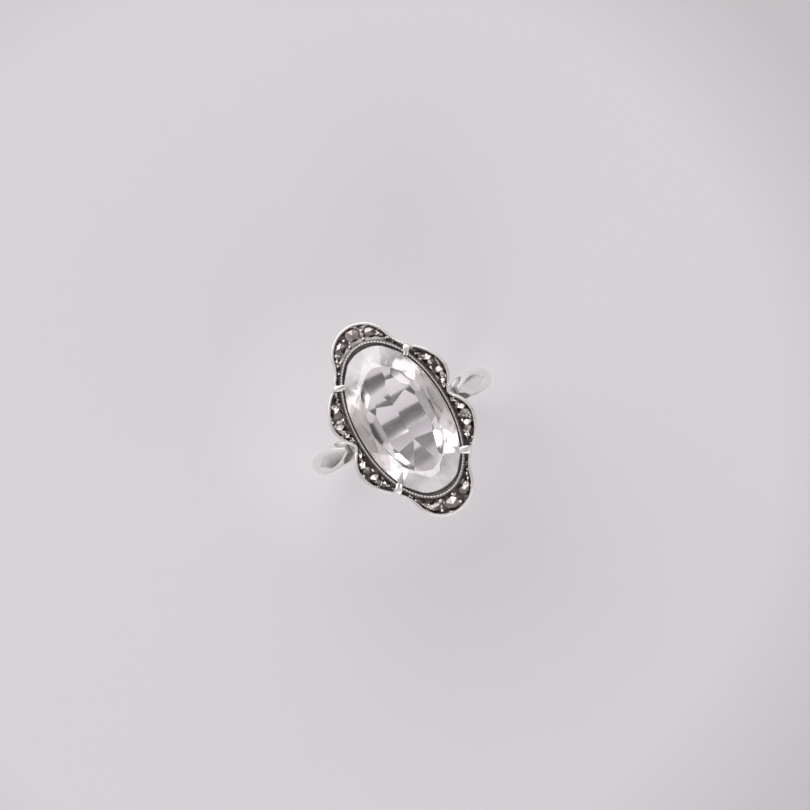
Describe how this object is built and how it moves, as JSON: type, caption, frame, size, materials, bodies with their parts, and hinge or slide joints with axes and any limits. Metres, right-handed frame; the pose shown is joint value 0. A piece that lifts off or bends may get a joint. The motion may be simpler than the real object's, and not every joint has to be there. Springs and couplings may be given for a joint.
{
  "type": "cocktail ring",
  "caption": "Vintage-style silver ring with a long oval clear crystal in a scalloped marcasite-set border, claws, open gallery and leaf shoulders.",
  "frame": {"origin": "centre of the finger bore, half way along its width", "axes": "+Y along the bore, which is the long way of the head and of the finger; +X across the finger in the plane of the band; +Z from the bore's centre up to the crystal"},
  "size_m": [0.02, 0.0208, 0.0234],
  "materials": {
    "polished_silver": "worn polished sterling silver with fine scratches",
    "carved_silver": "bright satin silver, tarnished in the carved hollows",
    "milgrain_silver": "bright silver grains over a dark oxidised rim",
    "claw_silver": "mirror-worn silver",
    "oxidised_silver": "black oxidised silver ground with rubbed high spots",
    "rock_crystal": "colourless polished rock crystal",
    "marcasite": "dark grey rose-cut pyrite with bright facets"
  },
  "bodies": {
    "root": {"shank": "polished_silver", "leaf_shoulder_right": "carved_silver", "leaf_shoulder_left": "carved_silver", "neck_right": "oxidised_silver", "neck_left": "oxidised_silver", "gallery_rail": "polished_silver", "gallery_post_upper": "polished_silver", "gallery_post_lower": "polished_silver", "border_plate": "oxidised_silver", "collet": "oxidised_silver", "inner_milgrain_rim": "milgrain_silver", "centre_crystal": "rock_crystal", "outer_milgrain_rim_right": "milgrain_silver", "outer_milgrain_rim_left": "milgrain_silver", "outer_milgrain_rim_upper": "milgrain_silver", "outer_milgrain_rim_lower": "milgrain_silver", "claw_upper_right": "claw_silver", "claw_upper_left": "claw_silver", "claw_lower_right": "claw_silver", "claw_lower_left": "claw_silver", "marcasite_upper_end_1": "marcasite", "marcasite_upper_end_2": "marcasite", "marcasite_upper_end_3": "marcasite", "marcasite_upper_end_4": "marcasite", "marcasite_upper_end_5": "marcasite", "marcasite_upper_end_6": "marcasite", "marcasite_upper_end_7": "marcasite", "marcasite_upper_end_8": "marcasite", "marcasite_upper_end_9": "marcasite", "marcasite_lower_end_1": "marcasite", "marcasite_lower_end_2": "marcasite", "marcasite_lower_end_3": "marcasite", "marcasite_lower_end_4": "marcasite", "marcasite_lower_end_5": "marcasite", "marcasite_lower_end_6": "marcasite", "marcasite_lower_end_7": "marcasite", "marcasite_lower_end_8": "marcasite", "marcasite_lower_end_9": "marcasite", "marcasite_upper_right_1": "marcasite", "marcasite_upper_right_2": "marcasite", "marcasite_upper_right_3": "marcasite", "marcasite_upper_right_4": "marcasite", "marcasite_upper_right_5": "marcasite", "marcasite_upper_left_1": "marcasite", "marcasite_upper_left_2": "marcasite", "marcasite_upper_left_3": "marcasite", "marcasite_upper_left_4": "marcasite", "marcasite_upper_left_5": "marcasite", "marcasite_lower_right_1": "marcasite", "marcasite_lower_right_2": "marcasite", "marcasite_lower_right_3": "marcasite", "marcasite_lower_right_4": "marcasite", "marcasite_lower_right_5": "marcasite", "marcasite_lower_left_1": "marcasite", "marcasite_lower_left_2": "marcasite", "marcasite_lower_left_3": "marcasite", "marcasite_lower_left_4": "marcasite", "marcasite_lower_left_5": "marcasite"}
  },
  "joints": []
}
